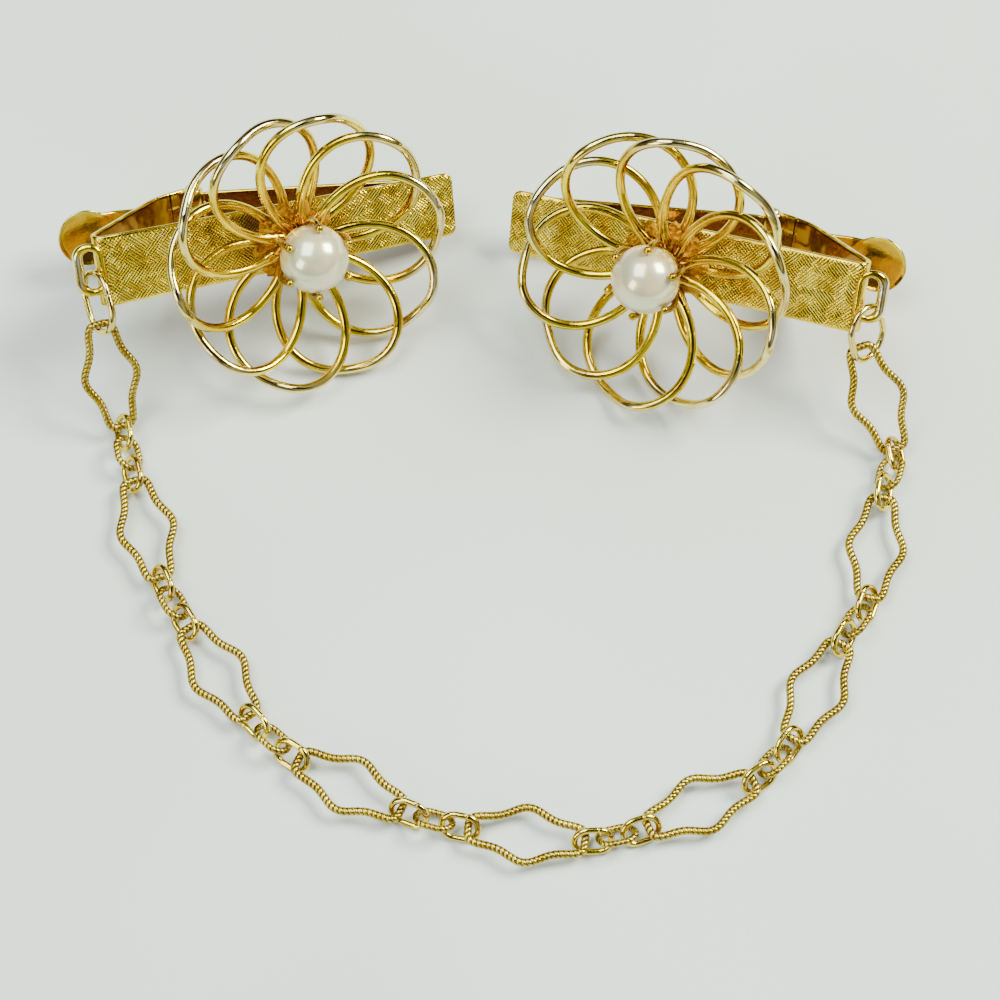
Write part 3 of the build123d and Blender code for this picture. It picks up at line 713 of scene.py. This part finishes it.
class SWEATERCLIP_OT_pearls(bpy.types.Operator):
    """A pearl in a six prong cup at the middle of each flower"""
    bl_idname = "sweaterclip.pearls"
    bl_label = "Pearls and settings"

    def execute(self, context):
        radius = context.scene.sweater_clip_sizes.pearl * HALF_MM
        for side, seed in (("left", 5), ("right", 6)):
            place = clip_place(side)
            a = np.linspace(-np.pi / 2, np.pi / 2, 66)[1:-1]
            grid = lathe(radius * np.stack([np.cos(a), np.sin(a)], -1), 96)
            grid = grid * (1 - 0.0015 * (1 + waves(grid, seed, 5.0)))[..., None]
            # Painted reflection of the gold setting: a honey tint that grows towards the seat
            low = np.clip((0.62 - grid[..., 2] / radius) / 0.8, 0, 1)
            painted_reflection = low * low * (3 - 2 * low)
            Surface().add(grid + np.array((0, 0, PEARL_HEIGHT)), mark=painted_reflection).build(
                f"{side}_pearl_bead", finish("pearl"), BODY, f"{side}_pearl", slot="pearl",
                place=place)

            seat = radius + 0.12
            cup = round_off(np.array((
                (0.0, 1.4), (2.15, 1.4), (2.8, 3.36), (2.42, 3.36), (1.75, 2.3), (0.0, 2.25))),
                0.16)
            setting = Surface().add(lathe(even(cup, 60), 60))

            # A prong follows the pearl, then ends in a round bead about its row number 45
            wire, bead_radius, bead_row = 0.33, 0.42, 45
            reach = seat + wire
            a = np.radians(np.linspace(-58, 20, 40))
            path = np.stack([reach * np.cos(a), 0 * a, PEARL_HEIGHT + reach * np.sin(a)], -1)
            end = path[-1] + np.linspace(0.04, 0.72, 18)[:, None] * unit(path[-1] - path[-2])
            path = np.vstack([path, end])
            row = np.arange(len(path))
            past = np.linalg.norm(path - path[bead_row], axis=1)
            bead = np.sqrt(np.maximum(bead_radius ** 2 - past ** 2, 0.02 ** 2))
            radii = np.where(row <= bead_row, np.maximum(wire, bead), bead)
            prong = tube(path, radii, (0, 1.0, 0), 14)
            for i in range(6):
                setting.add(prong, mark=np.linspace(0.3, 1.0, len(path))[:, None],
                            place=(turn("z", 24 + 60 * i), np.zeros(3)))
            rivet = round_off(np.array((
                (0.0, -3.36), (1.1, -3.36), (1.1, -2.95), (0.55, -2.86), (0.55, 1.5), (0.0, 1.5))),
                0.2)
            setting.add(lathe(rivet, 32))
            setting.build(f"{side}_setting_prongs", finish("prong"), BODY, f"{side}_pearl_setting",
                          slot="setting_gold", place=place)
        return {"FINISHED"}


class SWEATERCLIP_OT_bands(bpy.types.Operator):
    """Engraved front plate, fold, rear arm, knuckles and eyelet of each clip"""
    bl_idname = "sweaterclip.bands"
    bl_label = "Bands"

    def execute(self, context):
        bend, arm, curve, tail = clip_band_path()
        tip_x = TIP_X - 0.8 * (1 - np.cos(np.linspace(0, np.pi / 2, 12)))
        front_x = np.r_[tip_x, np.linspace(TIP_X - 1.2, FOLD_X + 0.4, 60)]
        front = np.stack([front_x, np.full(len(front_x), PLATE_MIDDLE)], -1)
        path = np.vstack([front, bend, even(arm, 20)[1:], curve[1:]])
        s = lengths(path)
        full = np.interp(s, (0, TIP_X - FOLD_X), (3.45, 3.75))
        corner = np.where(s < 0.8, 0.8 - np.sqrt(np.maximum(0.64 - (0.8 - s) ** 2, 0)), 0)
        grid, s, y = strip(path, full - corner, SHEET, samples=25, edge=0.13)

        # Columns 1 to 23 of the section are the outer face, 30 to 54 the inner one, which is given
        # painted shade
        column = np.arange(grid.shape[1])
        outer_face = ((column >= 1) & (column < 24)).astype(float)
        shaded_face = ((column >= 30) & (column < 55)).astype(float)
        # The front face carries the engraving and its painted highlight; the inner faces get
        # painted shade
        mark = (s < TIP_X - FOLD_X + 0.8)[:, None] * outer_face - shaded_face
        plan = np.stack([np.broadcast_to(s[:, None], y.shape), y], -1)
        tab = np.vstack([curve[-3:], even(np.vstack([curve[-1:], tail[None]]), 8)[1:]])

        # The eyelet is thicker and rubbed on its outer side
        bend_radius, wire, extra = 1.12, 0.39, 0.16
        loop = stadium(bend_radius, 1.3, 96)
        loop = np.stack([-loop[:, 1] - bend_radius, loop[:, 0], loop[:, 2]], -1)
        outer = np.clip(-loop[:, 0] / bend_radius - 1, 0, 1)
        loop[:, 0] -= extra * outer
        ring = tube(loop, wire + extra * outer, (0, 0, 1.0), 18, closed=True)
        for side, upper in (("left", 1), ("right", -1)):
            place = clip_place(side)
            band = Surface().add(grid, mark=mark, plan=plan)
            for hand in (-1, 1):
                middle, half = hand * BAND_KNUCKLE["middle"], BAND_KNUCKLE["half"]
                band.add(strip(tab, np.full(len(tab), half), SHEET, middle=middle, samples=7)[0])
                add_knuckle(band, middle, half)
            eyelet = turn("y", -20.0), np.array((-19.95, 0.35 * upper, -2.42))
            Surface().add(ring, closed=True, mark=0.95 * outer[:, None], place=eyelet).build(
                f"{side}_eyelet_ring", finish("sheet"), BODY, f"{side}_band", slot="band_gold",
                place=place)
            band.build(f"{side}_band_sheet", finish("plate"), BODY, f"{side}_band",
                       slot="band_gold", place=place)
        return {"FINISHED"}


class SWEATERCLIP_OT_levers(bpy.types.Operator):
    """Spoon paddle, neck, ears and jaw of each clip"""
    bl_idname = "sweaterclip.levers"
    bl_label = "Levers"

    def execute(self, context):
        # The jaw's far end, the bend's distance from the pin, and the spoon's slope and radius
        knee, standoff, slope, radius = np.array((17.3, -4.1)), 1.5, 4.9, 3.05
        reach = np.linalg.norm(knee - PIVOT)
        jaw = math.atan2(knee[1] - PIVOT[1], knee[0] - PIVOT[0]) + math.asin(standoff / reach)
        bend = arc(PIVOT, standoff, slope - 90, math.degrees(jaw) - 90, 10)
        back = ray(slope)
        heel = bend[0] - back * 11.7
        far = heel - back * (radius - 0.02)
        steps = np.r_[1 - np.cos(np.linspace(0, np.pi / 2, 14)[:-1]), np.linspace(1, 2, 12)[:-1]]
        spoon = far + (steps * radius)[:, None] * back
        neck = even(np.vstack([far + 2 * radius * back, bend[0]]), 14)
        blade = even(np.vstack([bend[-1], knee]), 40)[1:]
        lip = even(np.vstack([knee, np.array((18.2, -3.22))]), 6)[1:]
        path = np.vstack([spoon, neck, bend[1:], blade, lip])
        s = lengths(path)
        plain = np.interp(path[:, 0], (heel[0], PIVOT[0] - 6, PIVOT[0] - 2, PIVOT[0] + 2, 18.8),
                          (2.5, 2.1, 2.1, 2.9, 2.6))
        disc = np.sqrt(np.maximum(radius ** 2 - (s - radius) ** 2, 0))
        width = np.where(s < radius, disc, np.maximum(disc, plain))

        def dish(s, y):
            """Height of the spoon above its middle: a bowl in the distance from its centre, with a
            lip, that fades out along the neck."""
            r = np.hypot(y, s - radius) / radius
            bowl = 0.62 * np.clip(r, 0, 1) ** 2 + 0.14 * np.clip((r - 0.84) / 0.16, 0, 1) ** 2
            fade = np.clip((2.25 * radius - s) / (1.1 * radius), 0, 1)
            return bowl * fade * fade * (3 - 2 * fade)

        # Columns 34 to 62 of the section are the inner face, the spoon's hollow, which is given
        # painted shade; rims and edges are rubbed
        grid, s, y = strip(path, width, SHEET, lift=dish, samples=29, edge=0.16)
        r = np.hypot(y, s[:, None] - radius) / radius
        column = np.arange(grid.shape[1])
        shaded = (column >= 34) & (column < 63)
        rim = np.where(s[:, None] < 1.6 * radius, np.clip((r - 0.8) / 0.2, 0, 1), 0.0)
        rubbed = np.maximum(rim, 0.6 * (np.abs(y) > (width[:, None] - 0.25)))
        # Painted shade on the spoon's hollow, less where it is rubbed
        mark = rubbed - shaded * np.clip(1 - 1.6 * rubbed, 0, 1) * 0.75
        low = PIVOT[1] - KNUCKLE
        foot = even(np.array(((PIVOT[0] - 0.7, low), (PIVOT[0] + 0.7, low))), 6)
        for side in CLIPS:
            lever = Surface().add(grid, mark=mark)
            for hand in (-1, 1):
                middle, half = hand * LEVER_EAR["middle"], LEVER_EAR["half"]
                add_knuckle(lever, middle, half)
                lever.add(strip(foot, np.full(6, half), 0.8, middle=middle, samples=5,
                                edge=0.08)[0])
            lever.build(f"{side}_lever_spoon", finish("sheet"), f"{side}_lever", f"{side}_lever",
                        slot="lever_gold", place=clip_place(side))
        return {"FINISHED"}


class SWEATERCLIP_OT_pivots(bpy.types.Operator):
    """Pin with domed heads and a coiled spring with a leg along the arm in each clip"""
    bl_idname = "sweaterclip.pivots"
    bl_label = "Pins and springs"

    def execute(self, context):
        head = 3.83
        half_profile = np.array((
            (0.5, head), (0.74, head), (0.75, head + 0.05), (0.6, head + 0.26), (0.0, head + 0.3)))
        profile = round_off(np.vstack([half_profile[::-1] * (1, -1), half_profile]), 0.05)
        a = np.linspace(0, 2 * np.pi * 4, 200)
        radius, half, leg = 0.82, 0.57, ray(158.0)
        coil = np.stack([radius * np.sin(a), np.linspace(-half, half, 200), radius * np.cos(a)], -1)
        first = coil[0] + np.linspace(5.0, 0.1, 12)[:, None] * np.array((leg[0], 0, leg[1]))
        wire = np.vstack([first, coil]) + np.array((PIVOT[0], 0, PIVOT[1]))
        for side in CLIPS:
            place = clip_place(side)
            Surface().add(lathe(profile, 32), place=about_pin(0.0)).build(
                f"{side}_pin_domed", finish("spring"), BODY, f"{side}_pivot_pin", slot="steel",
                place=place)
            Surface().add(tube(wire, 0.16, (0, 1.0, 0), 10)).build(
                f"{side}_spring_coil", finish("spring"), BODY, f"{side}_spring", slot="steel",
                place=place)
        return {"FINISHED"}


def open_loop(bend_radius, half_straight, count, seam, gap=0.05):
    """Middle line of an oval ring that was bent shut: it starts past its cut, a share of the way
    round, and ends a gap before it."""
    path = stadium(bend_radius, half_straight, 8 * count)
    path = np.roll(path, -round(seam * len(path)), 0)
    step = np.linalg.norm(path[1] - path[0])
    return even(path[:len(path) - max(1, round(gap / step))], count)


def lying(first, last, roll):
    """Matrix and middle of a piece laid from one point to another and rolled about that line."""
    along = unit(last - first)
    level = unit(np.cross((0, 0, 1.0), along))
    return np.stack([along, level, np.cross(along, level)], 1) @ turn("x", roll), (first + last) / 2


def chain_ends():
    """First and last point of each of the nine wavy links, from the left clip to the right one."""
    ends = [LEFT_END]
    for x, y, heading in FLAT_LINKS:
        dx, dy = LINK_LENGTH / 2 * ray(heading)
        ends.append(((x - dx, y - dy, LINK_HEIGHT), (x + dx, y + dy, LINK_HEIGHT)))
    ends.append(RIGHT_END)
    return [(np.array(a) + SHIFT, np.array(b) + SHIFT) for a, b in ends]


class SWEATERCLIP_OT_links(bpy.types.Operator):
    """Nine wavy links of twisted wire"""
    bl_idname = "sweaterclip.links"
    bl_label = "Wavy links"

    def execute(self, context):
        sizes = context.scene.sweater_clip_sizes
        grid, ridge = twisted(
            link_path(540), sizes.link_wire * HALF_MM, sizes.twist_pitch * MM, 20, 0.17)
        ends = chain_ends()
        rolls = [END_ROLLS[0], *[0.0] * len(FLAT_LINKS), END_ROLLS[1]]
        for i, ((first, last), roll) in enumerate(zip(ends, rolls)):
            name = f"wavy_link_{i + 1}"
            Surface().add(grid, closed=True, mark=ridge, place=lying(first, last, roll)).build(
                f"{name}_twisted", finish("chain"), BODY, name, slot="chain_gold")
        return {"FINISHED"}


class SWEATERCLIP_OT_rings(bpy.types.Operator):
    """Three small rings between each two links, the middle one of twisted wire"""
    bl_idname = "sweaterclip.rings"
    bl_label = "Small rings"

    def execute(self, context):
        sizes = context.scene.sweater_clip_sizes
        wire = sizes.ring_wire * HALF_MM
        rope, ridge = twisted(stadium(RING_BEND, RING_STRAIGHT, 190), wire * 1.04,
                              sizes.twist_pitch * MM, 16, 0.16)
        smooth = open_loop(RING_BEND, RING_STRAIGHT, 96, seam=0.2, gap=0.03)
        smooth = tube(smooth, wire, (0, 0, 1.0), 14)
        ends = chain_ends()
        flat = [unit((b - a) * (1, 1, 0)) for a, b in ends]
        for i in range(len(ends) - 1):
            first, last = ends[i][1], ends[i + 1][0]
            chord = unit((last - first) * (1, 1, 0))
            enter, leave = unit(flat[i] + chord), unit(chord + flat[i + 1])
            reach = RING_SHARE * np.linalg.norm(last - first)
            near, far = first + enter * reach, last - leave * reach
            middles, headings = (near, (near + far) / 2, far), (enter, chord, leave)
            for j, (middle, heading, roll) in enumerate(zip(middles, headings, RING_ROLLS)):
                height = RING_BEND * abs(math.sin(math.radians(roll))) + wire + RING_LIFTS[j]
                middle = np.array((middle[0], middle[1], height))
                place = lying(middle - heading, middle + heading, roll)
                name = f"ring_{i + 1}_{j + 1}"
                if j == 1:
                    Surface().add(rope, closed=True, mark=ridge, place=place).build(
                        f"{name}_twisted", finish("chain"), BODY, name, slot="chain_gold")
                else:
                    Surface().add(smooth, mark=0.7, place=place).build(
                        f"{name}_smooth", finish("petal"), BODY, name, slot="chain_gold")
        return {"FINISHED"}


class SWEATERCLIP_OT_jump_rings(bpy.types.Operator):
    """The larger oval ring that hangs from each eyelet"""
    bl_idname = "sweaterclip.jump_rings"
    bl_label = "Jump rings"

    def execute(self, context):
        wire = context.scene.sweater_clip_sizes.jump_wire * HALF_MM
        bend_radius, half_straight = 2.3, 0.8
        for side, seam in (("left", 0.27), ("right", 0.72)):
            middle, long_axis, short_axis = JUMP_RINGS[side]
            along = unit(np.array(long_axis))
            normal = unit(np.cross(along, short_axis))
            place = np.stack([along, np.cross(normal, along), normal], 1), np.array(middle) + SHIFT
            path = open_loop(bend_radius, half_straight, 170, seam)
            grid = tube(path, wire, (0, 0, 1.0), 16)
            Surface().add(grid, mark=0.78, place=place).build(
                f"{side}_jump_ring_wire", finish("petal"), BODY, f"{side}_jump_ring",
                slot="chain_gold")
        return {"FINISHED"}


class SWEATERCLIP_OT_stage(bpy.types.Operator):
    """Pale floor, soft lights and the camera"""
    bl_idname = "sweaterclip.stage"
    bl_label = "Stage"

    def execute(self, context):
        scene = context.scene
        mesh = bpy.data.meshes.new("floor")
        size = 1.2
        corners = [(-size, -size, 0), (size, -size, 0), (size, size, 0), (-size, size, 0)]
        mesh.from_pydata(corners, [], [(0, 1, 2, 3)])
        mesh.materials.append(finish("table"))
        floor = bpy.data.objects.new("floor", mesh)
        scene.collection.objects.link(floor)

        scene.world = studio_world()
        aim = Vector((0.0, 0.0, 0.005))
        for name, spot, width, height, power, colour in (
                ("window", (0.38, 0.16, 0.40), 0.26, 0.24, 8.0, "#F8FFF0"),
                ("ceiling", (-0.22, 0.05, 0.62), 0.5, 0.4, 6.0, "#ECF8FA"),
                ("fill", (-0.45, -0.35, 0.28), 0.22, 0.30, 2.0, "#FBF8E4")):
            light = bpy.data.lights.new(name, "AREA")
            light.shape = "RECTANGLE"
            light.size, light.size_y = width, height
            light.energy = power
            light.color = linear(colour)
            lamp = bpy.data.objects.new(name, light)
            lamp.location = spot
            lamp.rotation_euler = (aim - Vector(spot)).to_track_quat("-Z", "Y").to_euler()
            scene.collection.objects.link(lamp)

        # Seen from 65 degrees above the table, so near that the far end looks a little smaller.
        # The focal length is 2427.5 pixels of a picture 1000 pixels wide.
        elevation, distance = math.radians(65.0), 0.25
        camera = bpy.data.cameras.new("camera")
        camera.sensor_width = 36.0
        camera.lens = camera.sensor_width * 2427.5 / 1000.0
        camera.clip_start, camera.clip_end = 0.01, 10.0
        view = bpy.data.objects.new("camera", camera)
        away = Vector((0, -math.cos(elevation), math.sin(elevation)))
        view.location = Vector(SHIFT / MM) + distance * away
        view.rotation_euler = (math.pi / 2 - elevation, 0, 0)
        scene.collection.objects.link(view)
        scene.camera = view
        return {"FINISHED"}


class SWEATERCLIP_PT_panel(bpy.types.Panel):
    """Lists the pieces of the sweater clip"""
    bl_idname = "SWEATERCLIP_PT_panel"
    bl_label = "Sweater Clip"
    bl_space_type = "VIEW_3D"
    bl_region_type = "UI"
    bl_category = "Sweater Clip"

    def draw(self, context):
        for group in (context.scene.sweater_clip_sizes, context.scene.sweater_clip_colours):
            for key in group.bl_rna.properties.keys():
                if key not in ("rna_type", "name"):
                    self.layout.prop(group, key)
        for operator in OPERATORS:
            self.layout.operator(operator.bl_idname)


OPERATORS = (
    SWEATERCLIP_OT_bands, SWEATERCLIP_OT_levers, SWEATERCLIP_OT_pivots, SWEATERCLIP_OT_flowers,
    SWEATERCLIP_OT_pearls, SWEATERCLIP_OT_jump_rings, SWEATERCLIP_OT_links, SWEATERCLIP_OT_rings,
    SWEATERCLIP_OT_stage)
CLASSES = (SweaterClipSizes, SweaterClipColours, *OPERATORS, SWEATERCLIP_PT_panel)


def register():
    for cls in CLASSES:
        bpy.utils.register_class(cls)
    bpy.types.Scene.sweater_clip_sizes = PointerProperty(type=SweaterClipSizes)
    bpy.types.Scene.sweater_clip_colours = PointerProperty(type=SweaterClipColours)


def unregister():
    del bpy.types.Scene.sweater_clip_sizes
    del bpy.types.Scene.sweater_clip_colours
    for cls in reversed(CLASSES):
        bpy.utils.unregister_class(cls)


def main():
    register()
    for operator in OPERATORS:
        group, name = operator.bl_idname.split(".")
        getattr(getattr(bpy.ops, group), name)()


if __name__ == "__main__":
    main()
